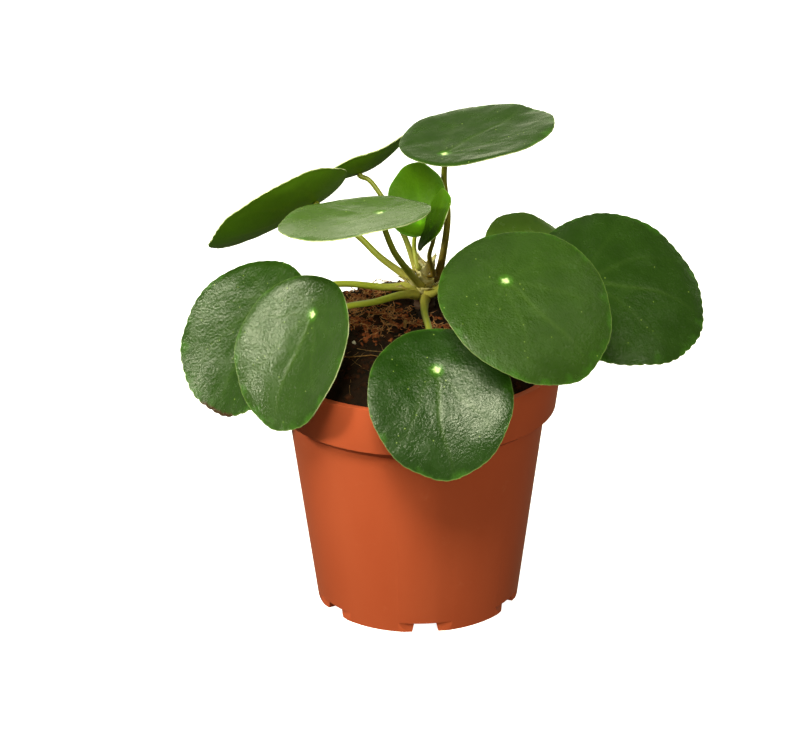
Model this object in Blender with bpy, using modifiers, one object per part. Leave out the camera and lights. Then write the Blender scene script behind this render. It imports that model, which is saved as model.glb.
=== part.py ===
"""A potted Chinese money plant (Pilea peperomioides) in a tapered plastic nursery pot.

The origin is the middle of the pot's base, +Z is up and the front is -Y.
Sizes in the tables are millimetres and degrees; objects are made in metres.
"""

import math
from collections import namedtuple

import bmesh
import bpy
from mathutils import Matrix, Vector, noise

MM = 0.001
GAP = 0.3

# The pot, a 12 cm nursery pot: outside radii and heights. The inside of the sloping shoulder lies
# lower than its outside, so the wall keeps its thickness there.
POT_HEIGHT = 105.0
RIM_RADIUS = 60.0
BAND_FOOT_RADIUS = 57.3
BAND_FOOT_HEIGHT = 85.5
SHOULDER_RADIUS = 52.8
SHOULDER_HEIGHT = 82.2
FOOT_RADIUS = 42.0
EDGE_ROUNDING = 0.8
WALL = 1.6
SHOULDER_DROP = 0.7
LIP_THICKNESS = 3.0
LIP_DEPTH = 2.5
LIP_UNDERSIDE = 1.2
FLOOR_THICKNESS = 1.8
POT_STEPS = 48

# Drain recesses round the foot, each under a raised pocket in the floor.
DRAINS = 6
DRAIN_FIRST_ANGLE = -86.0
RECESS_WIDTH = 22.0
RECESS_HEIGHT = 4.2
RECESS_DEPTH = 0.9
NOTCH_TOP_WIDTH = 9.0
NOTCH_FOOT_WIDTH = 13.0
NOTCH_HEIGHT = 3.7
POCKET_WIDTH = 16.5
POCKET_FOOT = 0.9
POCKET_HEIGHT = 5.4
POCKET_INNER_RADIUS = 25.0
CHANNEL_INNER_RADIUS = 27.0
DRAIN_HOLE_RADIUS = 3.0
DRAIN_HOLE_PLACE = 32.0
DRAIN_HOLE_STEPS = 12
CUT_BELOW = -2.0
CUT_BEYOND = 5.0

# The soil: its edge lies under the rim. It is heaped in the middle and higher still towards the back.
SOIL_EDGE_HEIGHT = 102.5
SOIL_EDGE_THICKNESS = 0.8
SOIL_HEAP = 14.2
SOIL_BACKWARD_SLOPE = 0.14
SOIL_HEAP_FLATNESS = 10
SOIL_LUMP = 1.5
SOIL_LUMP_SIZE = 9.0
SOIL_RINGS = 12
SOIL_STEPS = 44
SOIL_CLEARANCE = 0.45

# The stem stands upright, behind the middle of the pot.
STEM_X = 3.5
STEM_Y = 20.0
STEM_FOOT_HEIGHT = 106.0
STEM_PROFILE = ((106, 3.4), (113, 3.6), (118, 4.1), (123, 4.4), (128, 4.3), (132, 3.8), (136, 2.6))
STEM_TOP_HEIGHT = 138.0
STEM_STEPS = 16
STEM_HOLE_RADIUS = 4.9
STEM_HOLE_FOOT_HEIGHT = 105.5
STEM_HOLE_DEPTH = 40.0

# Stipules, the papery scales of the crown: (angle round the stem, height, length, width, lean outwards).
STIPULES = (
    (-170, 132, 7, 5, 25),
    (-150, 131, 6, 4, 25),
    (-60, 130, 6, 4, 40),
    (-20, 128, 7, 5, 38),
    (-20, 134, 9, 6, 12),
    (45, 134, 8, 6, 25),
    (90, 126, 9, 6, 38),
    (120, 134, 8, 6, 12),
    (85, 122, 7, 5, 25),
)
STIPULE_THICKNESS = 1.0
STIPULE_SIDES = 6
STIPULE_TIP_WIDTH = 0.24
STIPULE_ROOT = 0.9

BLADE_THICKNESS = 0.8
BLADE_STEPS = 36
BLADE_RINGS = (0.18, 0.42, 0.7, 1.0)
BLADE_SCALLOP = 0.006
BLADE_SCALLOPS = 9
BLADE_RIPPLE = 0.5
BLADE_RIPPLES = 5

PETIOLE_BASE_RADIUS = 1.5
PETIOLE_TOP_RADIUS = 1.15
PETIOLE_HEEL = 2.2
PETIOLE_HEEL_RISE = 0.8
PETIOLE_NECK = 1.4
PETIOLE_GAP = 0.4
PETIOLE_SAMPLES = 13
ROUTE_PARTS = 24

# One leaf. hub: where the petiole meets the blade, on the upper face. facing: the compass direction
# that the upper face leans to, with 0 along +X and 90 along +Y. tilt: how far it leans, 0 lying flat.
# turn: the direction of the blade's tip, seen on its face, from straight downhill. base: from the hub
# to the nearest edge. dish: how far the ends and the sides of the blade curl up, or down below 0.
# foot: the angle round the stem and the height where the petiole starts. route: the points that it
# passes. size: its thickness against a full-grown leaf's.
Leaf = namedtuple("Leaf", "name hub facing tilt turn length width base dish_ends dish_sides foot route size")

LEAVES = (
    Leaf("top", (12, 15, 187.5), -166, 7, -144, 66, 63.5, 11.5, 0.7, 1.9,
         (25, 131), ((11.4, 22, 142), (13.3, 25, 157), (11.9, 24.5, 172)), 1.0),
    Leaf("upper_left", (-14, -22, 175.3), 156, 8, 62, 61.5, 59, 18.5, 1.1, 2.5,
         (-113, 131), ((-6.8, -3, 148.6), (-10.2, -13, 159.1)), 1.0),
    Leaf("back_left", (-42.4, 38, 160), 143, 46, 55, 64.5, 62, 18, 4.5, 6.2,
         (159, 130), ((-14.3, 28, 137.9), (-24.2, 33, 146.2)), 1.0),
    Leaf("back", (-24, 54, 167.3), 122, 34, -102, 40, 38.5, 14.5, 6, 3.1,
         (128, 134), ((-4.5, 37, 144), (-10.5, 45, 153), (-15.8, 49.5, 160.3), (-19.3, 51.8, 164)), 0.85),
    Leaf("young_tall", (1.8, 17.5, 157.3), -124, 42, -163, 28, 26.5, 8, 6.9, 4.6,
         (-120, 137), ((-0.5, 19.5, 145), (0, 20, 151)), 0.7),
    Leaf("young_small", (6, -5.5, 162.6), -175, 60, -138, 27, 26, 10, 1.6, -0.7,
         (-44, 134), ((5.6, 9, 145), (7.1, 2, 154)), 0.7),
    Leaf("left", (-60.8, 8, 128.3), -139, 55, 3, 68, 69, 16, 0, 6,
         (-170, 128), ((-13, 18, 128.7), (-33.2, 14, 131.6)), 1.0),
    Leaf("front_left", (-41.5, -27, 134.2), -139, 61, -2, 64, 61.5, 15.5, 0, 4.2,
         (-140, 125.5), ((-7, 9, 128.4), (-16.8, -2, 129.8), (-28.2, -17, 133.6)), 1.0),
    Leaf("front", (8, -58, 122.7), -86, 43, 3, 62, 57, 19, -4.9, 0.5,
         (-88, 124), ((3.5, -5, 126), (5, -26, 128), (6.7, -44, 126.5)), 1.05),
    Leaf("front_right", (35, -48, 155.8), -77, 32, 37, 70.5, 68.5, 24, -8.2, -0.7,
         (-62, 126.5), ((13.5, 3, 135), (26, -25, 149)), 1.05),
    Leaf("right", (70.3, 15, 132.4), -81, 34.5, 79, 75.5, 76, 24.3, -8.5, -1.8,
         (-4, 126), ((28, 18, 131), (50, 17.5, 128.3)), 1.05),
    Leaf("back_right", (44, 42, 135), -61, 29, 101, 42, 40, 14.5, -1.9, 1.8,
         (42, 127), ((21, 32, 131.5), (33, 40, 129.5)), 0.85),
)


def clear_scene():
    for item in list(bpy.data.objects):
        bpy.data.objects.remove(item, do_unlink=True)


def new_collection(name):
    made = bpy.data.collections.new(name)
    bpy.context.scene.collection.children.link(made)
    return made


def new_material(name, colour, roughness):
    made = bpy.data.materials.new(name)
    made.use_nodes = True
    shader = made.node_tree.nodes["Principled BSDF"]
    shader.inputs["Base Color"].default_value = (*colour, 1.0)
    shader.inputs["Roughness"].default_value = roughness
    shader.inputs["Metallic"].default_value = 0.0
    return made


def new_object(name, data, collection, material=None):
    made = bpy.data.objects.new(name, data)
    collection.objects.link(made)
    if material:
        data.materials.append(material)
    return made


def mesh_from(bm, name):
    mesh = bpy.data.meshes.new(name)
    bm.to_mesh(mesh)
    bm.free()
    return mesh


def evaluated_mesh(item, name):
    """The mesh that an object's modifiers or curve settings give, with the caps of a curve welded."""
    graph = bpy.context.evaluated_depsgraph_get()
    mesh = bpy.data.meshes.new_from_object(item.evaluated_get(graph))
    mesh.name = name
    bm = bmesh.new()
    bm.from_mesh(mesh)
    bmesh.ops.remove_doubles(bm, verts=bm.verts, dist=0.001 * MM)
    bm.to_mesh(mesh)
    bm.free()
    return mesh


def straight_between(profile, height):
    """The radius at a height of a profile of (height, radius) points that runs upwards."""
    for (low, first), (high, second) in zip(profile, profile[1:]):
        if low <= height <= high:
            return first + (second - first) * (height - low) / (high - low)
    return profile[-1][1]


def turned_profile(name, points, steps, collection, material=None):
    """A closed turned shape: (radius, height) points that run down the outside, by a Screw modifier."""
    bm = bmesh.new()
    row = [bm.verts.new((radius * MM, 0, height * MM)) for radius, height in points]
    for above, below in zip(row, row[1:]):
        bm.edges.new((above, below))
    item = new_object(name, mesh_from(bm, name), collection, material)
    screw = item.modifiers.new("turn", "SCREW")
    screw.steps = steps
    screw.render_steps = steps
    screw.use_merge_vertices = True
    screw.merge_threshold = 0.0001
    return item


def as_helper(item):
    item.hide_render = True
    item.display_type = "WIRE"
    return item


def boolean(item, operation, collection):
    step = item.modifiers.new(operation.lower(), "BOOLEAN")
    step.operation = operation
    step.operand_type = "COLLECTION"
    step.collection = collection
    step.solver = "EXACT"


def apply_modifiers(item):
    """Puts the evaluated shape in the object's own mesh and drops the modifiers."""
    mesh = evaluated_mesh(item, item.data.name)
    item.modifiers.clear()
    item.data = mesh


def remove_all(collection):
    for item in list(collection.objects):
        bpy.data.objects.remove(item, do_unlink=True)
    bpy.data.collections.remove(collection)


def radial_block(name, outline, inner, outer, angle, collection):
    """A block along a radius of the pot: a section with (across, height) corners, extruded outwards."""
    bm = bmesh.new()
    corners = [bm.verts.new((inner * MM, across * MM, height * MM)) for across, height in outline]
    section = bm.faces.new(corners)
    grown = bmesh.ops.extrude_face_region(bm, geom=[section], use_keep_orig=True)["geom"]
    far = [part for part in grown if isinstance(part, bmesh.types.BMVert)]
    bmesh.ops.translate(bm, verts=far, vec=((outer - inner) * MM, 0, 0))
    bmesh.ops.recalc_face_normals(bm, faces=bm.faces)
    item = new_object(name, mesh_from(bm, name), collection)
    item.rotation_euler.z = math.radians(angle)
    return as_helper(item)


def cylinder(name, radius, length, steps, collection):
    """An upright helper cylinder about its own middle."""
    bm = bmesh.new()
    bmesh.ops.create_cone(bm, cap_ends=True, segments=steps, radius1=radius * MM, radius2=radius * MM,
                          depth=length * MM)
    return as_helper(new_object(name, mesh_from(bm, name), collection))


def drain_angles():
    return [DRAIN_FIRST_ANGLE + index * 360 / DRAINS for index in range(DRAINS)]


def rectangle(width, low, high):
    return ((-width / 2, low), (width / 2, low), (width / 2, high), (-width / 2, high))


def notch_outline(foot):
    """The drain channel's section, wider at the foot than at its top."""
    return (
        (-NOTCH_FOOT_WIDTH / 2, foot),
        (NOTCH_FOOT_WIDTH / 2, foot),
        (NOTCH_TOP_WIDTH / 2, NOTCH_HEIGHT),
        (-NOTCH_TOP_WIDTH / 2, NOTCH_HEIGHT),
    )


def pot_radius(height):
    """The pot's outside radius."""
    corners = (
        (0.0, FOOT_RADIUS),
        (SHOULDER_HEIGHT, SHOULDER_RADIUS),
        (BAND_FOOT_HEIGHT, BAND_FOOT_RADIUS),
        (POT_HEIGHT, RIM_RADIUS),
    )
    return straight_between(corners, height)


def inside_profile(clearance=0.0):
    """(radius, height) down the inside of the wall, from under the lip to the floor."""
    inset = WALL + clearance
    under_lip = POT_HEIGHT - LIP_DEPTH - LIP_UNDERSIDE - clearance
    floor = FLOOR_THICKNESS + clearance
    return (
        (pot_radius(under_lip) - inset, under_lip),
        (BAND_FOOT_RADIUS - inset, BAND_FOOT_HEIGHT - SHOULDER_DROP),
        (SHOULDER_RADIUS - inset, SHOULDER_HEIGHT - SHOULDER_DROP),
        (pot_radius(floor) - inset, floor),
    )


def make_pot(collection, material):
    outside = (
        (RIM_RADIUS - EDGE_ROUNDING, POT_HEIGHT),
        (RIM_RADIUS, POT_HEIGHT - EDGE_ROUNDING),
        (BAND_FOOT_RADIUS, BAND_FOOT_HEIGHT + EDGE_ROUNDING),
        (BAND_FOOT_RADIUS - EDGE_ROUNDING, BAND_FOOT_HEIGHT),
        (SHOULDER_RADIUS, SHOULDER_HEIGHT),
        (FOOT_RADIUS, EDGE_ROUNDING),
        (FOOT_RADIUS - EDGE_ROUNDING, 0.0),
    )
    lip = (
        (RIM_RADIUS - LIP_THICKNESS, POT_HEIGHT - LIP_DEPTH),
        (RIM_RADIUS - LIP_THICKNESS, POT_HEIGHT - EDGE_ROUNDING),
        (RIM_RADIUS - LIP_THICKNESS + EDGE_ROUNDING, POT_HEIGHT),
    )
    inside = tuple(reversed(inside_profile()))
    points = ((0.0, FLOOR_THICKNESS),) + inside + lip + outside + ((0.0, 0.0),)
    pot = turned_profile("pot", points, POT_STEPS, collection, material)

    pockets = new_collection("drain pockets")
    channels = new_collection("drain channels")
    beyond = FOOT_RADIUS + CUT_BEYOND
    for angle in drain_angles():
        radial_block("pocket", rectangle(POCKET_WIDTH, POCKET_FOOT, POCKET_HEIGHT),
                     POCKET_INNER_RADIUS, FOOT_RADIUS - WALL / 2, angle, pockets)
        radial_block("recess", rectangle(RECESS_WIDTH, CUT_BELOW, RECESS_HEIGHT),
                     FOOT_RADIUS - RECESS_DEPTH, beyond, angle, channels)
        radial_block("channel", notch_outline(CUT_BELOW), CHANNEL_INNER_RADIUS, beyond, angle, channels)
        hole = cylinder("drain hole", DRAIN_HOLE_RADIUS, 2 * POCKET_HEIGHT, DRAIN_HOLE_STEPS, channels)
        turn = Matrix.Rotation(math.radians(angle), 4, "Z")
        hole.location = turn @ Vector((DRAIN_HOLE_PLACE * MM, 0, POCKET_HEIGHT * MM))
    bpy.context.view_layer.update()
    boolean(pot, "UNION", pockets)
    boolean(pot, "DIFFERENCE", channels)
    apply_modifiers(pot)
    remove_all(pockets)
    remove_all(channels)
    return pot


def soil_height(x, y, reach):
    """The heaped surface: level with the edge at reach 1, highest behind the middle, with lumps."""
    heap = SOIL_HEAP + SOIL_BACKWARD_SLOPE * y
    heap += noise.noise(Vector((x, y, 0)) / SOIL_LUMP_SIZE) * SOIL_LUMP
    return SOIL_EDGE_HEIGHT + heap * (1 - reach**SOIL_HEAP_FLATNESS)


def make_soil(collection, material):
    wall = inside_profile(SOIL_CLEARANCE)
    edge = RIM_RADIUS - LIP_THICKNESS - SOIL_CLEARANCE
    surface = tuple((edge * ring / SOIL_RINGS, SOIL_EDGE_HEIGHT) for ring in range(SOIL_RINGS + 1))
    skirt = (edge, SOIL_EDGE_HEIGHT - SOIL_EDGE_THICKNESS)
    points = surface + (skirt,) + wall + ((0.0, wall[-1][1]),)
    soil = turned_profile("soil", points, SOIL_STEPS, collection, material)
    apply_modifiers(soil)
    for vertex in soil.data.vertices:
        x, y, z = vertex.co / MM
        if abs(z - SOIL_EDGE_HEIGHT) < 0.01:
            vertex.co.z = soil_height(x, y, min(1.0, math.hypot(x, y) / edge)) * MM

    spaces = new_collection("spaces in the soil")
    for angle in drain_angles():
        radial_block("pocket space", rectangle(POCKET_WIDTH + 2 * GAP, CUT_BELOW, POCKET_HEIGHT + GAP),
                     POCKET_INNER_RADIUS - GAP, FOOT_RADIUS + CUT_BEYOND, angle, spaces)
    hole = cylinder("stem hole", STEM_HOLE_RADIUS, STEM_HOLE_DEPTH, STEM_STEPS, spaces)
    hole.location = Vector((STEM_X, STEM_Y, STEM_HOLE_FOOT_HEIGHT + STEM_HOLE_DEPTH / 2)) * MM
    bpy.context.view_layer.update()
    boolean(soil, "DIFFERENCE", spaces)
    apply_modifiers(soil)
    remove_all(spaces)
    return soil


def make_stipule(angle, height, length, width, lean, collection):
    """A scale: a six-sided cone pressed flat, with its foot in the stem and its tip leaning out."""
    bm = bmesh.new()
    bmesh.ops.create_cone(bm, cap_ends=True, segments=STIPULE_SIDES, radius1=0.5,
                          radius2=STIPULE_TIP_WIDTH / 2, depth=1.0)
    bmesh.ops.translate(bm, verts=bm.verts, vec=(0, 0, 0.5))
    bmesh.ops.scale(bm, verts=bm.verts, vec=(STIPULE_THICKNESS * MM, width * MM, length * MM))
    item = as_helper(new_object("stipule", mesh_from(bm, "stipule"), collection))
    around = Matrix.Rotation(math.radians(angle), 4, "Z")
    outwards = Matrix.Rotation(math.radians(lean), 4, "Y")
    root = straight_between(STEM_PROFILE, height) - STIPULE_ROOT
    foot = Matrix.Translation(Vector((root, 0, height)) * MM)
    item.matrix_world = Matrix.Translation(Vector((STEM_X, STEM_Y, 0)) * MM) @ around @ foot @ outwards


def make_stem(collection, material):
    profile = ((0.0, STEM_TOP_HEIGHT),)
    profile += tuple((radius, height) for height, radius in reversed(STEM_PROFILE))
    profile += ((0.0, STEM_FOOT_HEIGHT),)
    stem = turned_profile("stem", profile, STEM_STEPS, collection, material)
    apply_modifiers(stem)
    stem.location = Vector((STEM_X, STEM_Y, 0)) * MM
    scales = new_collection("stipules")
    for row in STIPULES:
        make_stipule(*row, scales)
    bpy.context.view_layer.update()
    boolean(stem, "UNION", scales)
    apply_modifiers(stem)
    remove_all(scales)
    return stem


def blade_frame(leaf):
    """The turn from the blade's own axes, +X to its tip and +Z out of its upper face."""
    facing = Matrix.Rotation(math.radians(leaf.facing), 3, "Z")
    tilt = Matrix.Rotation(math.radians(leaf.tilt), 3, "Y")
    turn = Matrix.Rotation(math.radians(leaf.turn), 3, "Z")
    return facing @ tilt @ turn


def blade_point(leaf, reach, angle, phase):
    """A point of the blade's upper face, from the hub at reach 0 to the margin at reach 1."""
    half_length = leaf.length / 2
    half_width = leaf.width / 2
    scallop = 1 + BLADE_SCALLOP * reach * math.sin(BLADE_SCALLOPS * angle + phase)
    x = reach * scallop * (half_length - leaf.base + half_length * math.cos(angle))
    y = reach * scallop * half_width * math.sin(angle)
    z = leaf.dish_ends * (x / half_length) ** 2 + leaf.dish_sides * (y / half_width) ** 2
    z += BLADE_RIPPLE * reach**3 * math.sin(BLADE_RIPPLES * angle + 2 * phase)
    return Vector((x, y, z)) * MM


def make_blade(leaf, index, collection, material):
    """A round sheet with a centre at the hub, shaped to the leaf, triangulated and thickened downwards."""
    bm = bmesh.new()
    row = [bm.verts.new((0, 0, 0))]
    row += [bm.verts.new((ring, 0, 0)) for ring in BLADE_RINGS]
    spokes = [bm.edges.new(pair) for pair in zip(row, row[1:])]
    bmesh.ops.spin(bm, geom=row + spokes, cent=(0, 0, 0), axis=(0, 0, 1), angle=math.tau,
                   steps=BLADE_STEPS, use_merge=True)
    bmesh.ops.remove_doubles(bm, verts=bm.verts, dist=0.001)
    for vertex in bm.verts:
        reach = min(1.0, vertex.co.length)
        vertex.co = blade_point(leaf, reach, math.atan2(vertex.co.y, vertex.co.x), index)
    bmesh.ops.recalc_face_normals(bm, faces=bm.faces)
    if sum(face.normal.z for face in bm.faces) < 0:
        bmesh.ops.reverse_faces(bm, faces=bm.faces)
    bmesh.ops.triangulate(bm, faces=bm.faces)
    name = f"blade_{leaf.name}"
    blade = new_object(name, mesh_from(bm, name), collection, material)
    blade.location = Vector(leaf.hub) * MM
    blade.rotation_euler = blade_frame(leaf).to_euler()
    solidify = blade.modifiers.new("thickness", "SOLIDIFY")
    solidify.thickness = BLADE_THICKNESS * MM
    solidify.offset = -1
    blade.data.shade_smooth()
    return blade


def petiole_points(leaf):
    """The points that a petiole passes, from its heel on the stem to its neck under the hub."""
    angle, height = leaf.foot
    outwards = Vector((math.cos(math.radians(angle)), math.sin(math.radians(angle)), 0))
    axis = Vector((STEM_X, STEM_Y, height))
    heel = axis + outwards * (straight_between(STEM_PROFILE, height) + 2 * GAP)
    toe = heel + outwards * PETIOLE_HEEL + Vector((0, 0, PETIOLE_HEEL_RISE))
    up = blade_frame(leaf) @ Vector((0, 0, 1))
    top = Vector(leaf.hub) - up * (BLADE_THICKNESS + PETIOLE_GAP)
    neck = top - up * PETIOLE_NECK
    return [heel, toe] + [Vector(point) for point in leaf.route] + [neck, top]


def smooth_route(points, count):
    """A curve by Catmull and Rom's rule, with straight first and last stretches and even samples between."""
    fine = []
    for p0, p1, p2, p3 in zip(points, points[1:], points[2:], points[3:]):
        for part in range(ROUTE_PARTS):
            t = part / ROUTE_PARTS
            fine.append(0.5 * (2 * p1 + (p2 - p0) * t + (2 * p0 - 5 * p1 + 4 * p2 - p3) * t**2
                               + (3 * p1 - p0 - 3 * p2 + p3) * t**3))
    fine.append(points[-2])
    walked = [0.0]
    for before, after in zip(fine, fine[1:]):
        walked.append(walked[-1] + (after - before).length)
    even = []
    index = 0
    for sample in range(count):
        goal = walked[-1] * sample / (count - 1)
        while index < len(walked) - 2 and walked[index + 1] < goal:
            index += 1
        share = min(1.0, (goal - walked[index]) / (walked[index + 1] - walked[index]))
        even.append(fine[index].lerp(fine[index + 1], share))
    return [points[0]] + even + [points[-1]]


def make_petiole(leaf, collection, material):
    """A leaf stalk: a round tube along its route, thinner towards the blade."""
    route = smooth_route(petiole_points(leaf), PETIOLE_SAMPLES)
    name = f"petiole_{leaf.name}"
    curve = bpy.data.curves.new(name, "CURVE")
    curve.dimensions = "3D"
    curve.bevel_depth = PETIOLE_BASE_RADIUS * leaf.size * MM
    curve.bevel_resolution = 2
    curve.use_fill_caps = True
    spline = curve.splines.new("POLY")
    spline.points.add(len(route) - 1)
    for index, (point, place) in enumerate(zip(spline.points, route)):
        point.co = (*(place * MM), 1)
        share = index / (len(route) - 1)
        point.radius = 1 + (PETIOLE_TOP_RADIUS / PETIOLE_BASE_RADIUS - 1) * share
    return new_object(name, curve, collection, material)


def main():
    clear_scene()
    plant = new_collection("potted chinese money plant")
    terracotta = new_material("moulded polypropylene, terracotta", (0.45, 0.07, 0.02), 0.5)
    peat = new_material("peat and coir", (0.018, 0.008, 0.004), 0.95)
    bark = new_material("stem and papery stipules", (0.28, 0.2, 0.08), 0.7)
    stalk = new_material("petiole, olive green", (0.16, 0.19, 0.02), 0.45)
    leaf_green = new_material("leaf, mature green", (0.06, 0.14, 0.02), 0.35)
    young_green = new_material("leaf, young green", (0.08, 0.2, 0.004), 0.4)
    make_pot(plant, terracotta)
    make_soil(plant, peat)
    make_stem(plant, bark)
    for index, leaf in enumerate(LEAVES):
        green = young_green if leaf.name.startswith("young") else leaf_green
        make_blade(leaf, index, plant, green)
        make_petiole(leaf, plant, stalk)
    bpy.context.view_layer.update()


main()
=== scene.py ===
# %% [markdown]
# A potted Chinese money plant, dressed for its picture.
#
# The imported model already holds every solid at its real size: the pot, the soil, the stem, and a blade
# and a petiole (leaf stalk) for each of the twelve leaves. This lesson models the surfaces that the eye
# sees round those solids, and gives each one a finish worked out from nodes. The origin is the middle of
# the pot's base, +Z is up, and the plant is looked at from -Y.

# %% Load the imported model
import math
import random
from collections import namedtuple

import bpy
import numpy as np
from mathutils import Matrix, Vector, noise


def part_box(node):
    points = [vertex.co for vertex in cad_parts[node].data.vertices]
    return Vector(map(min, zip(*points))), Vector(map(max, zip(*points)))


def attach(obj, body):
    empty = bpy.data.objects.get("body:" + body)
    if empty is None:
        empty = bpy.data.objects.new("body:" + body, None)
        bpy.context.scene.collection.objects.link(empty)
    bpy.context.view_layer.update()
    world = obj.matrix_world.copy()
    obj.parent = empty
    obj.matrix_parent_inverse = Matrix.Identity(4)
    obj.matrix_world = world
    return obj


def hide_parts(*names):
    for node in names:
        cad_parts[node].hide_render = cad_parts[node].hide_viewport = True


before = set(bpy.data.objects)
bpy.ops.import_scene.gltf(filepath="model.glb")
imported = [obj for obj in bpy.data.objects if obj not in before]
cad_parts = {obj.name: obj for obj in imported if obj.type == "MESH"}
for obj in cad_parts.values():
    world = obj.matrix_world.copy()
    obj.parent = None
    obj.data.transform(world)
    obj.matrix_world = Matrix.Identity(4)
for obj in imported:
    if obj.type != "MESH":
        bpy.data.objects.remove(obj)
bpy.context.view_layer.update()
MM = 0.001
print("nodes:", len(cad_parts))

# %% [markdown]
# A few helpers serve every piece. An operator acts on all that is selected, so each piece starts with
# nothing selected. What repeats is modelled once and copied, each copy with its own mesh. A finished
# piece rides on the model's one body, takes the material that it is given, and may stand for a plain
# solid, which is then hidden.

# %% Helpers for pieces
BODY = "root"


def deselect():
    bpy.ops.object.select_all(action="DESELECT")


def select_only(*pieces):
    """Selects these pieces alone, and makes the first one active."""
    deselect()
    for piece in pieces:
        piece.select_set(True)
    bpy.context.view_layer.objects.active = pieces[0]


def turned_by(angle, axis="Z"):
    """A turn about an axis through the origin, by an angle in degrees."""
    return Matrix.Rotation(math.radians(angle), 4, axis)


def apply_modifiers(piece):
    select_only(piece)
    for modifier in list(piece.modifiers):
        bpy.ops.object.modifier_apply(modifier=modifier.name)


def own_copy(model):
    """A copy of the model with a mesh of its own."""
    copy = model.copy()
    copy.data = model.data.copy()
    bpy.context.scene.collection.objects.link(copy)
    return copy


def join_copies(name, copies):
    """Joins the copies into the first one, which takes the name."""
    select_only(*copies)
    bpy.ops.object.join()
    copies[0].name = name
    return copies[0]


def finish_piece(piece, slot, *nodes, material=None):
    """The piece rides on the body, takes the material, if one is given, and stands for the nodes. The
    slot is not used.
    """
    if material:
        piece.data.materials.append(material)
    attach(piece, BODY)
    if nodes:
        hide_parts(*nodes)
    print(f"{piece.name}: {len(piece.data.polygons)} faces")


# %% [markdown]
# Colours are written as sRGB hex values, as a paint program shows them, and turned to the linear values
# that a shader expects. One small function adds a node with its settings and its links, so a material
# reads as a short list of nodes. Most finishes here are colours laid one over another where a pattern,
# such as noise, passes from one limit to the next, so that step has a function too.

# %% Helpers for materials
def linear(hex_colour):
    """An sRGB hex value as a linear RGBA colour."""
    channels = [int(hex_colour[index:index + 2], 16) / 255 for index in (0, 2, 4)]
    return (*[c / 12.92 if c <= 0.04045 else ((c + 0.055) / 1.055) ** 2.4 for c in channels], 1.0)


def set_inputs(node, inputs):
    """Gives each input a value, a hex colour, or a link from a socket or a node's first live output."""
    for name, value in inputs.items():
        if isinstance(value, bpy.types.Node):
            value = next(socket for socket in value.outputs if socket.enabled)
        if isinstance(value, bpy.types.NodeSocket):
            node.id_data.links.new(value, node.inputs[name])
        else:
            node.inputs[name].default_value = linear(value) if isinstance(value, str) else value


def add_node(tree, kind, inputs=None, **settings):
    """A node with its settings and its inputs."""
    node = tree.nodes.new("ShaderNode" + kind)
    for name, value in settings.items():
        setattr(node, name, value)
    set_inputs(node, inputs or {})
    return node


def blend(tree, pattern, limits, under, over, shares=(0, 1), fading="LINEAR"):
    """One colour over another. shares: how much of the over one shows at each limit of the pattern."""
    share = add_node(tree, "MapRange", {"Value": pattern, "From Min": limits[0], "From Max": limits[1],
                                        "To Min": shares[0], "To Max": shares[1]},
                     interpolation_type=fading)
    return add_node(tree, "Mix", {0: share, 6: under, 7: over}, data_type="RGBA")


def new_material(name, roughness, ior=1.45):
    """A material with only its shader, and the tree to add nodes to."""
    material = bpy.data.materials.new(name)
    material.use_nodes = True
    tree = material.node_tree
    shader = tree.nodes["Principled BSDF"]
    set_inputs(shader, {"Roughness": roughness, "IOR": ior})
    return material, tree, shader


# %% [markdown]
# The camera stands 1.2 m in front of the pot and nearly 0.6 m up, and looks down by 22 degrees through a
# long lens, so the round rim shows as a shallow ellipse. The frame is shifted a little sideways, because
# the pot stands right of its middle.

# %% Camera
CAMERA_DISTANCE = 1.2
CAMERA_HEIGHT = 0.5831
CAMERA_PITCH = 0.382
CAMERA_ROLL = -0.007
FOCAL_PIXELS = 3153
FRAME_WIDTH = 804
POT_AXIS_PIXEL = 416.3

camera_data = bpy.data.cameras.new("camera")
camera_data.sensor_width = 36
camera_data.lens = FOCAL_PIXELS * camera_data.sensor_width / FRAME_WIDTH
camera_data.shift_x = (FRAME_WIDTH / 2 - POT_AXIS_PIXEL) / FRAME_WIDTH
camera = bpy.data.objects.new("camera", camera_data)
bpy.context.scene.collection.objects.link(camera)
looking_down = Matrix.Rotation(math.pi / 2 - CAMERA_PITCH, 4, "X") @ Matrix.Rotation(CAMERA_ROLL, 4, "Z")
camera.matrix_world = Matrix.Translation((0, -CAMERA_DISTANCE, CAMERA_HEIGHT)) @ looking_down
bpy.context.scene.camera = camera
print("lens:", round(camera_data.lens, 1), "mm")

# %% [markdown]
# The stage is a sheet of white paper, bright enough to look white all over, with only a faint shadow
# where the pot stands. Waxy leaves mirror what is round them, so the room is kept dark above and each
# sheen comes from a soft box of its own. The key stands in front, to the left and high up, and models
# the pot. A small bright box in front draws the sheen on one half of the folded front leaf, one at the
# left does so on the two leaves that lean that way, and faint ones at the right and above glance off
# the big leaves there. Two wide ones fill the shadows, a low one in front and to the right and a weaker
# one behind, and no gloss shows them. Behind the plant the room brightens near the horizon, like a pale
# wall, and the flat upper leaves mirror that at a glancing angle.

# %% Stage
FLOOR_SIZE = 12.0
FLOOR_GLOW = 0.97

deselect()
bpy.ops.mesh.primitive_plane_add(size=FLOOR_SIZE, location=(0, 0, 0))
floor = bpy.context.object
floor.name = "floor"
paper, tree, shader = new_material("white paper", 0.9)
set_inputs(shader, {"Base Color": "F0F0F0", "Emission Color": "FFFFFF", "Emission Strength": FLOOR_GLOW})
floor.data.materials.append(paper)
floor.visible_diffuse = False
floor.visible_glossy = False

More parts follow.
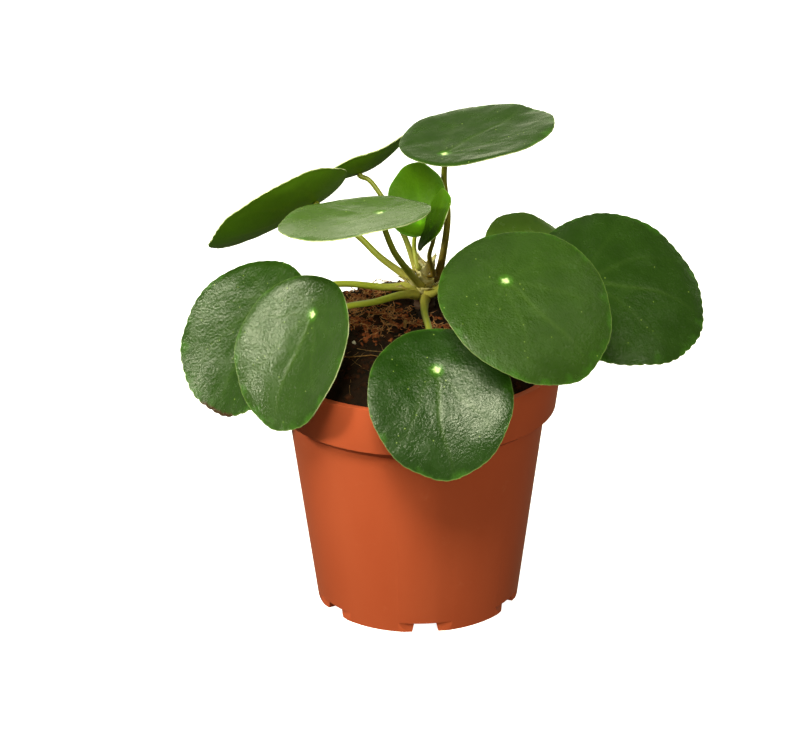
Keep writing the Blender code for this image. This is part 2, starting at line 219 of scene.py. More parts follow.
# %% Soft boxes
# One box: its name, its azimuth, which is 0 behind the plant and 90 at its right, its angle above level,
# its two sides in metres and its brightness.
SOFT_BOXES = (
    ("key, front left", -140, 50, (0.5, 0.5), 10.0),
    ("sheen, front", -171, 48, (0.27, 0.34), 49.0),
    ("sheen, left", -112, 24, (0.16, 0.17), 150.0),
    ("sheen, right", 106, 46, (0.2, 0.2), 9.0),
    ("sheen, above", -15, 70, (0.5, 0.5), 0.9),
    ("fill, front right", 160, 17, (0.8, 0.6), 4.5),
    ("fill, behind", 25, 32, (0.8, 0.6), 4.2),
)
PLANT_MIDDLE = Vector((0, 0, 0.13))
BOX_DISTANCE = 1.3
LIGHT_COLOUR = linear("FAFCD8")[:3]

for name, azimuth, height, size, brightness in SOFT_BOXES:
    turn = math.radians(azimuth)
    rise = math.radians(height)
    level = math.cos(rise)
    direction = Vector((math.sin(turn) * level, math.cos(turn) * level, math.sin(rise)))
    box = bpy.data.lights.new(name, "AREA")
    box.shape = "RECTANGLE"
    box.size, box.size_y = size
    box.energy = brightness * math.pi * size[0] * size[1]
    box.color = LIGHT_COLOUR
    lamp = bpy.data.objects.new(name, box)
    bpy.context.scene.collection.objects.link(lamp)
    lamp.location = PLANT_MIDDLE + direction * BOX_DISTANCE
    lamp.rotation_euler = (-direction).to_track_quat("-Z", "Y").to_euler()
    lamp.visible_glossy = "fill" not in name
print("soft boxes:", len(SOFT_BOXES))

# %% The room
ROOM_BELOW = 0.3
ROOM_LEVEL = 1.7
ROOM_RAISED = 0.3
ROOM_ABOVE = 0.19
SIDES_SHARE = 0.2
WALL_STARTS = 0.45
WALL_FULL = 0.9

room = bpy.data.worlds.new("studio room")
bpy.context.scene.world = room
room.use_nodes = True
tree = room.node_tree
direction = add_node(tree, "SeparateXYZ", {0: add_node(tree, "TexCoord").outputs["Generated"]})
height = add_node(tree, "MapRange", {"Value": direction.outputs["Z"], "From Min": -1.0})
ramp = add_node(tree, "ValToRGB", {"Fac": height})
stops = ((0.47, ROOM_BELOW), (0.5, ROOM_LEVEL), (0.56, ROOM_LEVEL), (0.64, ROOM_RAISED),
         (0.8, ROOM_ABOVE))
for index, (place, brightness) in enumerate(stops):
    stop = ramp.color_ramp.elements[index] if index < 2 else ramp.color_ramp.elements.new(place)
    stop.position = place
    stop.color = (*[brightness * channel for channel in LIGHT_COLOUR], 1)
behind = add_node(tree, "MapRange", {"Value": direction.outputs["Y"], "From Min": WALL_STARTS,
                                     "From Max": WALL_FULL, "To Min": SIDES_SHARE},
                  interpolation_type="SMOOTHSTEP")
set_inputs(tree.nodes["Background"], {"Color": ramp, "Strength": behind})
bpy.context.scene.view_settings.view_transform = "Standard"
print("room brightness, from below to above:", [brightness for place, brightness in stops])

# %% [markdown]
# The pot is an injection-moulded nursery pot: a tapered body, a shoulder, a tall band below the rim, and
# drain channels through its foot. It is turned in shape, so it is modelled as rings: a circle is
# extruded edge by edge, each new ring lifted and resized, from the foot up the outside, over the lip
# and down the inside to the floor. A bevel then rounds the moulded edges.

# %% A helper that turns a piece from rings
def turned_piece(name, rings, sides, fill="TRIFAN"):
    """Extrudes a circle through the (radius, height) pairs and merges the last ring in one point."""
    deselect()
    bpy.ops.mesh.primitive_circle_add(vertices=sides, radius=rings[0][0], fill_type=fill)
    piece = bpy.context.object
    piece.name = name
    piece.data.transform(Matrix.Translation((0, 0, rings[0][1])))
    bpy.ops.object.mode_set(mode="EDIT")
    bpy.ops.mesh.select_all(action="DESELECT")
    bpy.ops.mesh.select_mode(type="EDGE")
    bpy.ops.mesh.select_non_manifold()
    for (radius, height), (next_radius, next_height) in zip(rings, rings[1:]):
        bpy.ops.mesh.extrude_edges_move(TRANSFORM_OT_translate={"value": (0, 0, next_height - height)})
        growth = next_radius / radius
        bpy.ops.transform.resize(value=(growth, growth, 1), center_override=(0, 0, 0))
    bpy.ops.mesh.merge(type="CENTER")
    bpy.ops.mesh.select_all(action="SELECT")
    bpy.ops.mesh.normals_make_consistent(inside=False)
    bpy.ops.object.mode_set(mode="OBJECT")
    return piece


# %% Pot sizes
pot_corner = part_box("pot")[1]
RIM_RADIUS = pot_corner.x
POT_HEIGHT = pot_corner.z
BAND_FOOT_RADIUS = 57.3 * MM
BAND_FOOT_HEIGHT = 85.5 * MM
SHOULDER_RADIUS = 52.8 * MM
SHOULDER_HEIGHT = 82.2 * MM
FOOT_RADIUS = 42.0 * MM
WALL = 1.6 * MM
SHOULDER_DROP = 0.7 * MM
LIP_THICKNESS = 3.0 * MM
LIP_DEPTH = 2.5 * MM
LIP_UNDERSIDE = 1.2 * MM
TAPER_UNDER_LIP = 0.4 * MM
FLOOR_THICKNESS = 1.8 * MM
POT_SIDES = 192

# %% The pot's turned shape
under_lip = POT_HEIGHT - LIP_DEPTH - LIP_UNDERSIDE
pot_rings = [
    (FOOT_RADIUS, 0),
    (SHOULDER_RADIUS, SHOULDER_HEIGHT),
    (BAND_FOOT_RADIUS, BAND_FOOT_HEIGHT),
    (RIM_RADIUS, POT_HEIGHT),
    (RIM_RADIUS - LIP_THICKNESS, POT_HEIGHT),
    (RIM_RADIUS - LIP_THICKNESS, POT_HEIGHT - LIP_DEPTH),
    (RIM_RADIUS - WALL - TAPER_UNDER_LIP, under_lip),
    (BAND_FOOT_RADIUS - WALL, BAND_FOOT_HEIGHT - SHOULDER_DROP),
    (SHOULDER_RADIUS - WALL, SHOULDER_HEIGHT - SHOULDER_DROP),
    (FOOT_RADIUS - WALL, FLOOR_THICKNESS),
]
pot = turned_piece("pot_shell", pot_rings, POT_SIDES)
print("pot rings:", len(pot_rings))

# %% [markdown]
# Under the foot, six shallow recesses let the pot stand on six pads, and a channel in each leads water
# from a hole in the floor to the edge. On the real pot the floor is raised over each channel, so a block
# is joined on inside before the recess, the channel and the hole are cut.

# %% Drain channels
DRAINS = 6
DRAIN_FIRST_ANGLE = -86
RECESS_WIDTH = 22 * MM
RECESS_HEIGHT = 4.2 * MM
RECESS_DEPTH = 0.9 * MM
CHANNEL_WIDTH = 13 * MM
CHANNEL_TOP_WIDTH = 9 * MM
CHANNEL_HEIGHT = 3.7 * MM
CHANNEL_START = 27 * MM
POCKET_WIDTH = 16.5 * MM
POCKET_HEIGHT = 5.4 * MM
POCKET_START = 25 * MM
HOLE_RADIUS = 3 * MM
HOLE_PLACE = 32 * MM
CUT_PAST = 5 * MM
SAME_HEIGHT = 0.1 * MM


def radial_box(name, inner, outer, width, low, high, angle):
    """A box from one radius to another, turned to its angle round the pot."""
    deselect()
    bpy.ops.mesh.primitive_cube_add(size=1, location=((inner + outer) / 2, 0, (low + high) / 2),
                                    scale=(outer - inner, width, high - low))
    box = bpy.context.object
    box.name = name
    bpy.ops.object.transform_apply(location=True, rotation=True, scale=True)
    box.data.transform(turned_by(angle))
    return box


def narrow_top(box, share):
    """Brings the box's top edges together, so its section is wider at the foot."""
    bpy.ops.object.mode_set(mode="EDIT")
    bpy.ops.mesh.select_all(action="DESELECT")
    bpy.ops.object.mode_set(mode="OBJECT")
    top = max(vertex.co.z for vertex in box.data.vertices)
    for vertex in box.data.vertices:
        vertex.select = vertex.co.z > top - SAME_HEIGHT
    bpy.ops.object.mode_set(mode="EDIT")
    bpy.ops.transform.resize(value=(1, share, 1), center_override=(0, 0, 0))
    bpy.ops.object.mode_set(mode="OBJECT")


def cut_or_join(piece, tools, operation):
    """Joins the tools to the piece, or cuts them out of it, and removes them."""
    for tool in tools:
        modifier = piece.modifiers.new(operation, "BOOLEAN")
        modifier.operation = operation
        modifier.object = tool
    apply_modifiers(piece)
    for tool in tools:
        bpy.data.objects.remove(tool, do_unlink=True)


blocks = []
cuts = []
for drain in range(DRAINS):
    angle = DRAIN_FIRST_ANGLE + drain * 360 / DRAINS
    turn = turned_by(angle)
    blocks.append(radial_box("pocket", POCKET_START, FOOT_RADIUS - WALL / 2, POCKET_WIDTH,
                             WALL / 2, POCKET_HEIGHT, angle))
    cuts.append(radial_box("recess", FOOT_RADIUS - RECESS_DEPTH, FOOT_RADIUS + CUT_PAST, RECESS_WIDTH,
                           -CUT_PAST, RECESS_HEIGHT, angle))
    channel = radial_box("channel", CHANNEL_START, FOOT_RADIUS + CUT_PAST, CHANNEL_WIDTH,
                         -CUT_PAST, CHANNEL_HEIGHT, 0)
    narrow_top(channel, CHANNEL_TOP_WIDTH / CHANNEL_WIDTH)
    channel.data.transform(turn)
    cuts.append(channel)
    deselect()
    bpy.ops.mesh.primitive_cylinder_add(vertices=32, radius=HOLE_RADIUS, depth=4 * POCKET_HEIGHT)
    hole = bpy.context.object
    hole.data.transform(turn @ Matrix.Translation((HOLE_PLACE, 0, POCKET_HEIGHT)))
    cuts.append(hole)
cut_or_join(pot, blocks, "UNION")
cut_or_join(pot, cuts, "DIFFERENCE")
print("drains cut:", DRAINS)

# %% Moulded edges
MOULD_ROUNDING = 0.7 * MM
MOULDED_EDGE_ANGLE = 20
SMOOTH_UP_TO_ANGLE = 35

rounding = pot.modifiers.new("moulded edges", "BEVEL")
rounding.width = MOULD_ROUNDING
rounding.segments = 3
rounding.limit_method = "ANGLE"
rounding.angle_limit = math.radians(MOULDED_EDGE_ANGLE)
rounding.use_clamp_overlap = True
apply_modifiers(pot)
bpy.ops.object.shade_smooth_by_angle(angle=math.radians(SMOOTH_UP_TO_ANGLE))
print("pot faces:", len(pot.data.polygons))

# %% [markdown]
# The pot's finish is coloured polypropylene, moulded in a tool with a finely blasted surface. To the eye
# that is an even, matte orange-brown with a weak, broad highlight. Up close there is a fine grain, the
# flow of the plastic shows as faint cloudy bands, and handling has polished or scuffed it in places.

# %% Moulded polypropylene
FLOW_SIZE = MM / 0.045
FLOW_STRETCH = 0.35
SCUFF_SIZE = 6.25 * MM
GRAIN_SIZE = MM / 2.2
GRAIN_DEPTH = 0.05 * MM

plastic, tree, shader = new_material("moulded polypropylene, terracotta", 0.5, ior=1.49)
place = add_node(tree, "TexCoord").outputs["Object"]
stretched = add_node(tree, "Mapping", {"Vector": place, "Scale": (1, 1, FLOW_STRETCH)})
flow = add_node(tree, "TexNoise", {"Vector": stretched, "Scale": 1 / FLOW_SIZE, "Detail": 4})
body = add_node(tree, "Mix", {0: flow, 6: "B84F30", 7: "C65C3C"}, data_type="RGBA")
scuffs = add_node(tree, "TexNoise", {"Vector": place, "Scale": 1 / SCUFF_SIZE, "Detail": 6,
                                     "Roughness": 0.7})
colour = blend(tree, scuffs, (0.62, 0.78), body, "CC6E4E", (0, 0.35))
gloss = add_node(tree, "MapRange", {"Value": flow, "To Min": 0.44, "To Max": 0.58})
grain = add_node(tree, "TexNoise", {"Vector": place, "Scale": 1 / GRAIN_SIZE, "Detail": 2})
relief = add_node(tree, "Bump", {"Height": grain, "Strength": 0.25, "Distance": GRAIN_DEPTH})
set_inputs(shader, {"Base Color": colour, "Roughness": gloss, "Normal": relief,
                    "Specular IOR Level": 0.2})
finish_piece(pot, "pot_plastic", "pot", material=plastic)

# %% [markdown]
# The root ball is peat, mixed with coir. Its surface is heaped in the middle and higher still at the
# back, and it is rough at every scale: broad lumps, crumbs of a few millimetres and loose fibres. The
# heap is a disc of rings whose points are lifted by a formula, with noise of four sizes, and the crumbs,
# chips and fibres are scattered on it afterwards as pieces of their own.

# %% The height of the heap
SOIL_EDGE_HEIGHT = 102.5 * MM
SOIL_EDGE_RADIUS = RIM_RADIUS - LIP_THICKNESS - 0.45 * MM
SOIL_HEAP = 14.2 * MM
SOIL_BACKWARD_SLOPE = 0.14
SOIL_HEAP_FLATNESS = 10
SOIL_CRUMB_FLATNESS = 12
SOIL_LUMP = 1.5 * MM
SOIL_LUMP_SIZE = 9.0 * MM
COARSE_CRUMB = 4.6 * MM
FINE_CRUMB = 2.4 * MM
GRIT = 0.9 * MM
STEM_X = 3.5 * MM
STEM_Y = 20.0 * MM


def soil_reach(x, y):
    """0 in the middle of the pot and 1 at the edge of the soil."""
    return min(1.0, math.hypot(x, y) / SOIL_EDGE_RADIUS)


def soil_height(x, y):
    """The height of the heap, without its crumbs."""
    heap = SOIL_HEAP + SOIL_BACKWARD_SLOPE * y
    heap += noise.noise(Vector((x, y, 0)) / SOIL_LUMP_SIZE) * SOIL_LUMP
    return SOIL_EDGE_HEIGHT + heap * (1 - soil_reach(x, y) ** SOIL_HEAP_FLATNESS)


def soil_crumb(x, y):
    """How far the crumbly top stands above or below the heap."""
    spot = Vector((x, y, 0.02))
    coarse = noise.noise(spot / COARSE_CRUMB) * 1.3
    fine = (0.5 - noise.voronoi(spot / FINE_CRUMB)[0][0]) * 0.8
    finest = noise.noise(spot / GRIT) * 0.3
    return (coarse + fine + finest) * MM * (1 - soil_reach(x, y) ** SOIL_CRUMB_FLATNESS)


# %% The heaped surface
SOIL_RINGS = 70
SOIL_SIDES = 240


def spaced(start, end, count):
    """Even steps from the start to the end, both included."""
    return [start + (end - start) * index / count for index in range(count + 1)]


# Below the heap the root ball stays a little clear of the pot's inside.
soil_rings = [
    (FOOT_RADIUS - WALL - 0.5 * MM, POCKET_HEIGHT + 0.5 * MM),
    (SHOULDER_RADIUS - WALL - 0.6 * MM, SHOULDER_HEIGHT - 1.5 * MM),
    (RIM_RADIUS - WALL - 1.2 * MM, under_lip - 1 * MM),
    (SOIL_EDGE_RADIUS, SOIL_EDGE_HEIGHT - 0.8 * MM),
]
soil_rings += [(radius, SOIL_EDGE_HEIGHT) for radius in spaced(SOIL_EDGE_RADIUS, 1.0 * MM, SOIL_RINGS)]
soil = turned_piece("soil_surface", soil_rings, SOIL_SIDES)
for vertex in soil.data.vertices:
    x, y, z = vertex.co
    if z > SOIL_EDGE_HEIGHT - SAME_HEIGHT:
        vertex.co.z = soil_height(x, y) + soil_crumb(x, y)
soil.data.shade_smooth()
print("soil surface faces:", len(soil.data.polygons))

# %% [markdown]
# Damp peat is nearly black in its hollows and red-brown on the raised, drier crumbs, with no gloss at
# all. The colour follows a noise with much detail, so no two patches look alike, and a fine bump carries
# the grit that is too small to model.

# %% Peat
GRITS_PER_PATCH = 8
GRIT_DEPTH = 0.3 * MM


def earth_material(name, dark, light, size, roughness=0.95):
    """Matte earth or fibre: two colours mixed by noise of the given size."""
    material, tree, shader = new_material(name, roughness)
    place = add_node(tree, "TexCoord").outputs["Object"]
    patches = add_node(tree, "TexNoise", {"Vector": place, "Scale": 1 / size, "Detail": 8,
                                          "Roughness": 0.65})
    colour = blend(tree, patches, (0.35, 0.68), dark, light)
    grit = add_node(tree, "TexNoise", {"Vector": place, "Scale": GRITS_PER_PATCH / size, "Detail": 5,
                                       "Roughness": 0.7})
    relief = add_node(tree, "Bump", {"Height": grit, "Strength": 0.8, "Distance": GRIT_DEPTH})
    set_inputs(shader, {"Base Color": colour, "Normal": relief, "Specular IOR Level": 0.25})
    return material


finish_piece(soil, "soil", "soil", material=earth_material("damp peat", "0D0703", "29150A", 5 * MM))

# %% [markdown]
# Crumbs, coir chips and fibres lie on the heap by the hundred. Each kind is modelled a few times: a
# crumb is a small sphere with its points pushed about, a fibre is a thin tube along a wandering line.
# Copies, each with its own mesh, are then turned, scaled and laid on the slope, and joined.

# %% Models of stones and fibres
STONE_LUMPINESS = 0.55
FIBRE_KNOTS = 9


def lumpy_stone(seed, *stretch):
    """A sphere of radius 1 with its points pushed about, then stretched."""
    deselect()
    bpy.ops.mesh.primitive_uv_sphere_add(segments=8, ring_count=6, radius=1)
    stone = bpy.context.object
    for vertex in stone.data.vertices:
        push = noise.noise(vertex.co * 1.3 + Vector((seed * 7, 0, 0)))
        vertex.co *= 1 + STONE_LUMPINESS * push
        vertex.co = Vector(a * b for a, b in zip(vertex.co, stretch))
    return stone


def tube(name, points, radii, resolution=0):
    """A round tube along the points, made from a curve with a bevel, and closed at its ends."""
    curve = bpy.data.curves.new(name, "CURVE")
    curve.dimensions = "3D"
    curve.bevel_depth = 1.0
    curve.bevel_resolution = resolution
    curve.use_fill_caps = True
    spline = curve.splines.new("POLY")
    spline.points.add(len(points) - 1)
    for knot, point, radius in zip(spline.points, points, radii):
        knot.co = (*point, 1)
        knot.radius = radius
    line = bpy.data.objects.new(name, curve)
    bpy.context.scene.collection.objects.link(line)
    select_only(line)
    bpy.ops.object.convert(target="MESH")
    bpy.ops.object.mode_set(mode="EDIT")
    bpy.ops.mesh.select_all(action="SELECT")
    bpy.ops.mesh.remove_doubles(threshold=0.001 * MM)
    bpy.ops.mesh.normals_make_consistent(inside=False)
    bpy.ops.object.mode_set(mode="OBJECT")
    piece = bpy.context.object
    piece.data.shade_smooth()
    return piece


def wandering_fibre(seed, thickness, wander):
    """A fibre of length 1 that lies flat and wanders sideways, thinner at its ends."""
    draw = random.Random(seed)
    points = []
    place = Vector((-0.5, 0, 0))
    heading = 0.0
    for index in range(FIBRE_KNOTS):
        points.append(place.copy())
        heading += draw.uniform(-wander, wander)
        step = Vector((math.cos(heading), math.sin(heading), draw.uniform(-0.12, 0.16)))
        place += step / (FIBRE_KNOTS - 1)
    swell = [0.45 + 0.55 * math.sin(math.pi * (index + 0.5) / FIBRE_KNOTS)
             for index in range(FIBRE_KNOTS)]
    return tube("fibre", points, [thickness / 2 * share for share in swell])


# %% Places on the heap
CLUMPS = ((-6, 7), (-13, 14), (2, 4), (-23, 27), (-17, 33), (-28, 18), (14, -2), (24, 26), (-2, 38),
          (-15, -3), (-24, 7))
CLUMP_SPREAD = 3.8
LITTER_REACH = 0.96
CLUMP_REACH = 0.93


def on_heap(x, y, reach, clear):
    """Whether a place lies within this share of the soil's radius and this far from the stem."""
    return math.hypot(x, y) < SOIL_EDGE_RADIUS * reach and math.hypot(x - STEM_X, y - STEM_Y) > clear


def anywhere(draw):
    """A place on the heap, even over its area, clear of the rim and of the stem."""
    while True:
        x, y = [draw.uniform(-1, 1) * SOIL_EDGE_RADIUS * LITTER_REACH for axis in "xy"]
        if on_heap(x, y, LITTER_REACH, 6 * MM):
            return x, y


def in_clump(draw):
    """A place in one of the clumps of coir, most of which lie round the stem and left of it."""
    while True:
        x, y = [(middle + draw.gauss(0, CLUMP_SPREAD)) * MM for middle in draw.choice(CLUMPS)]
        if on_heap(x, y, CLUMP_REACH, 5.5 * MM):
            return x, y


def slope_turn(x, y):
    """The turn that lays a flat thing on the heap at a place."""
    step = 1.5 * MM
    rise_x = (soil_height(x + step, y) - soil_height(x - step, y)) / (2 * step)
    rise_y = (soil_height(x, y + step) - soil_height(x, y - step)) / (2 * step)
    return Vector((-rise_x, -rise_y, 1)).to_track_quat("Z", "X").to_matrix().to_4x4()


# %% The litter
# One kind of litter. model and seeds: the function that makes its models, and a seed for each. shape:
# how a stone is stretched, or how thick a fibre is and how much it wanders. count: how many are laid.
# draws: the seed that they are laid by. sizes: the smallest and the largest, in mm. sink: how deep one
# lies, as a share of its size. spot: the function that draws its place. tumble: how far it may roll
# over. look: its material's name, its two colours, the size of its patches and its roughness.
Litter = namedtuple("Litter", "name model seeds shape count draws sizes sink spot tumble look")

LITTER = (
    Litter("peat_crumbs", lumpy_stone, range(5), (1, 0.85, 0.75), 700, 3, (0.5, 2.7), 0.4, anywhere, 1.5,
           ("dry peat crumbs", "0D0703", "3E1E0C", 3 * MM)),
    Litter("coir_chips", lumpy_stone, range(20, 24), (1, 0.55, 0.4), 260, 5, (0.7, 2.6), 0.1, in_clump,
           0.9, ("coir chips", "4E2010", "B0623A", 2 * MM)),
    Litter("perlite", lumpy_stone, range(40, 43), (1, 0.8, 0.8), 26, 8, (0.4, 1.1), 0.2, anywhere, 1.5,
           ("perlite", "B9AE9C", "EFE9DC", 1 * MM)),
    Litter("coir_fibres", wandering_fibre, range(8), (0.045, 1.2), 420, 11, (3.5, 9), -0.12, in_clump,
           0.9, ("coir fibres", "8C4826", "E8B27C", 2 * MM, 0.75)),
    Litter("root_threads", wandering_fibre, range(50, 56), (0.014, 0.35), 60, 17, (12, 26), -0.015,
           anywhere, 0.1, ("fine roots", "5A3C22", "A98558", 2 * MM, 0.7)),
)
RESTS_ON_CRUMBS = 0.7

for kind in LITTER:
    draw = random.Random(kind.draws)
    models = [kind.model(seed, *kind.shape) for seed in kind.seeds]
    smallest, largest = [size * MM for size in kind.sizes]
    copies = []
    for index in range(kind.count):
        x, y = kind.spot(draw)
        size = draw.uniform(smallest, largest)
        height = soil_height(x, y) + soil_crumb(x, y) * RESTS_ON_CRUMBS - kind.sink * size
        turn = Matrix.Rotation(draw.uniform(0, math.tau), 4, "Z")
        roll = Matrix.Rotation(draw.uniform(-kind.tumble, kind.tumble), 4, "Y")
        laid = Matrix.Translation((x, y, height)) @ slope_turn(x, y)
        copies.append(own_copy(models[index % len(models)]))
        copies[-1].data.transform(laid @ turn @ roll @ Matrix.Scale(size, 4))
    piece = join_copies(kind.name, copies)
    piece.data.shade_smooth()
    for model in models:
        bpy.data.objects.remove(model, do_unlink=True)
    finish_piece(piece, "soil", material=earth_material(*kind.look))

# %% A twig and a long root
TWIG_FOOT = Vector((-4.5, 3, 112))
TWIG_STEPS = ((0, 0, 0), (0.3, -0.2, 3), (-0.1, -0.3, 5.5), (0.4, -0.4, 8))
TWIG_RADII = (0.8, 0.8, 0.8, 0.65)
LONG_ROOT = ((-31, -23.2, 0), (-27, -23.9, 0.5), (-22, -23.4, 0.3), (-18, -23.9, 0.6), (-13, -23.2, 0.2))
LONG_ROOT_RADIUS = 0.2 * MM
LONG_ROOT_LIFT = 0.6

dry_wood = earth_material("dry twig", "6A4420", "A8804E", 3 * MM, 0.8)
twig = tube("twig", [(TWIG_FOOT + Vector(step)) * MM for step in TWIG_STEPS],
            [radius * MM for radius in TWIG_RADII], resolution=3)
finish_piece(twig, "soil", material=dry_wood)
root_points = [(x * MM, y * MM, soil_height(x * MM, y * MM) + (LONG_ROOT_LIFT + up) * MM)
               for x, y, up in LONG_ROOT]
root = tube("long_root", root_points, [LONG_ROOT_RADIUS] * len(LONG_ROOT), resolution=1)
finish_piece(root, "soil", material=dry_wood)

# %% [markdown]
# Every leaf is one row of sizes, nearly the same as the solids were built from. The blade is peltate:
# its stalk joins the underside inside the margin, at the hub, so each row gives the hub's place, how the
# blade leans and turns there, its length and width, and how far the hub lies from the nearest edge.

# %% The leaves
# One leaf. hub: where the petiole meets the blade, on the upper face. facing: the compass direction
# that the upper face leans to, with 0 along +X and 90 along +Y. tilt: how far it leans, 0 lying flat.
# turn: the direction of the blade's tip, seen on its face, from straight downhill. base: from the hub
# to the nearest edge. dish: how far the ends and the sides of the blade curl up, or down below 0.
# foot: the angle round the stem and the height where the petiole starts. route: the points that it
# passes. size: its thickness against a full-grown leaf's. lobes: how deep the margin's waves are.
# tone: how light its green is, from 0 to 1. It is partly the leaf's own colour, an old leaf being
# darker, and partly painted light: it was set leaf by leaf for how bright each one looks where it
# stands, so the back_right leaf, in the shade of the front_right one, is made light. fold: how far its
# sides rise from a crease along its middle. crinkle: the depth of its skin's fine relief, in mm. scorch:
# the angles round the blade between which its margin has gone brown.
Leaf = namedtuple("Leaf", "name hub facing tilt turn length width base dish_ends dish_sides foot route "
                  "size lobes tone fold crinkle scorch", defaults=(0, 0.09, None))

LEAVES = (
    Leaf("top", (12, 15, 187.5), -166, 7, -144, 66, 63.5, 11.5, 0.7, 1.9,
         (25, 131), ((11.4, 22, 142), (13.3, 25, 157), (11.9, 24.5, 172)), 1.0, 0.4, 0.12, 0, 0.035),
    Leaf("upper_left", (-14, -22, 175.3), 156, 8, 62, 61.5, 59, 18.5, 1.1, 2.5,
         (-113, 131), ((-6.8, -3, 148.6), (-10.2, -13, 159.1)), 1.0, 0.2, 0.56, 0, 0.04),
    Leaf("back_left", (-42.4, 38, 160), 143, 46, 55, 64.5, 62, 18, 4.5, 6.2,
         (159, 130), ((-14.3, 28, 137.9), (-24.2, 33, 146.2)), 1.0, 0.6, 0.2),
    Leaf("back", (-24, 54, 167.3), 122, 34, -102, 40, 38.5, 14.5, 6, 3.1,
         (128, 134), ((-4.5, 37, 144), (-10.5, 45, 153), (-15.8, 49.5, 160.3), (-19.3, 51.8, 164)),
         0.85, 0.4, 0.25),
    Leaf("young_tall", (1.8, 17.5, 157.3), -124, 42, -163, 28, 26.5, 8, 6.9, 4.6,
         (-120, 137), ((-0.5, 19.5, 145), (0, 20, 151)), 0.7, 0.0, 0.5),
    Leaf("young_small", (6, -5.5, 162.6), -175, 60, -138, 27, 26, 10, 1.6, -0.7,
         (-44, 134), ((5.6, 9, 145), (7.1, 2, 154)), 0.7, 0.0, 0.5),
    Leaf("left", (-60.8, 8, 128.3), -139, 55, 3, 68, 69, 16, 0.2, 6,
         (-170, 128), ((-13, 18, 128.7), (-33.2, 14, 131.6)), 1.0, 1.0, 0.08, 0, 0.125, (-23, 20)),
    Leaf("front_left", (-41.5, -27, 134.2), -139, 61, -2, 64, 61.5, 15.5, -0.8, 4.2,
         (-140, 125.5), ((-7, 9, 128.4), (-16.8, -2, 129.8), (-28.2, -17, 133.6)),
         1.0, 0.35, 0.14, 2.0, 0.115),
    Leaf("front", (8, -58, 122.7), -86, 43, 3, 62, 57, 19, -4.9, 0.5,
         (-88, 124), ((3.5, -5, 126), (5, -26, 128), (6.7, -44, 126.5)), 1.05, 0.4, 0.0, 3.6, 0.097),
    Leaf("front_right", (35, -48, 155.8), -77, 32, 37, 70.5, 68.5, 24, -8.2, -0.7,
         (-62, 126.5), ((13.5, 3, 135), (26, -25, 149)), 1.05, 0.35, 0.18, 0, 0.16),
    Leaf("right", (70.3, 15, 132.4), -81, 34.5, 79, 75.5, 76, 24.3, -8.5, -1.8,
         (-4, 126), ((28, 18, 131), (50, 17.5, 128.3)), 1.05, 1.0, 0.08),
    Leaf("back_right", (44, 42, 135), -61, 29, 101, 42, 40, 14.5, -1.9, 1.8,
         (42, 127), ((21, 32, 131.5), (33, 40, 129.5)), 0.85, 0.6, 1.0),
)
BLADE_THICKNESS = 0.8
print("leaves:", len(LEAVES))


def blade_frame(leaf):
    """The turn from the blade's own axes, +X to its tip and +Z out of its upper face."""
    return turned_by(leaf.facing) @ turned_by(leaf.tilt, "Y") @ turned_by(leaf.turn)


# %% [markdown]
# A blade starts as a flat disc of rings round the hub, modelled once and copied for each leaf. The
# leaf's own formula then moves its points: the oval outline with small rounded lobes, the broad dish,
# the main veins pressed in as shallow grooves that fan out from the hub, and the soft quilting between
# them. Solidify gives it a fleshy thickness, less at the margin.

# %% One flat disc
# Its rings are a little closer together at the margin and at the hub.
DISC_SIDES = 240
DISC_RINGS = 34
DISC_CROWDING = 0.07
DISC_INNERMOST = 0.03

disc_rings = [(share - DISC_CROWDING * math.sin(math.tau * share) / math.tau, 0)
              for share in spaced(1.0, DISC_INNERMOST, DISC_RINGS)]
disc = turned_piece("disc", disc_rings, DISC_SIDES, fill="NOTHING")
print("disc faces:", len(disc.data.polygons))

# %% The main veins
# Each vein: its direction from the hub, in degrees from the tip, and its depth against the middle one's.
# Its width and its start are in mm, its bend and its waver in degrees, and the widest angle to either
# side of its line that still counts is in radians.
VEINS = ((0, 1.0), (38, 0.45), (-36, 0.5), (78, 0.3), (-76, 0.35), (122, 0.25), (-118, 0.25), (178, 0.2))
VEIN_WIDTH = 1.1
VEIN_BEND = 10
VEIN_WAVER = 3
VEIN_SIDE = 0.6
VEIN_START = 3


def vein_strength(x, y, reach, phase):
    """1 on the line of a main vein and 0 away from it. The veins bend a little towards the tip."""
    from_hub = math.hypot(x, y)
    around = math.degrees(math.atan2(y, x))
    width = VEIN_WIDTH * (1.25 - 0.7 * reach)
    strength = 0.0
    for index, (vein, depth) in enumerate(VEINS):
        bend = -VEIN_BEND * math.sin(math.radians(vein)) * reach
        waver = VEIN_WAVER * math.sin(7 * reach + index + phase)
        off = math.radians((around - vein - bend - waver + 180) % 360 - 180)
        if abs(off) < VEIN_SIDE:
            strength = max(strength, depth * math.exp(-(from_hub * math.sin(off) / width) ** 2))
    return strength * min(1.0, from_hub / VEIN_START) * max(0.0, 1 - reach**3)


# %% The shape of a blade
SCALLOP = 0.006
SCALLOPS = 9
LOBE = 0.013
LOBE_SPACING = 4.6
LOBE_ROUNDNESS = 0.7
RIPPLE = 0.4
RIPPLES = 5
VEIN_DEPTH = 0.09
FOLD_SHARPNESS = 0.3
FOLD_DROP = 0.08
QUILT_SIZE = 8.5
QUILT_DEPTH = 0.26
PUCKER_SIZE = 3.0
PUCKER_DEPTH = 0.08
HUB_DIMPLE = 0.45
HUB_SIZE = 2.2
MARGIN_ROLL = 0.6
MARGIN_ROLL_START = 0.83


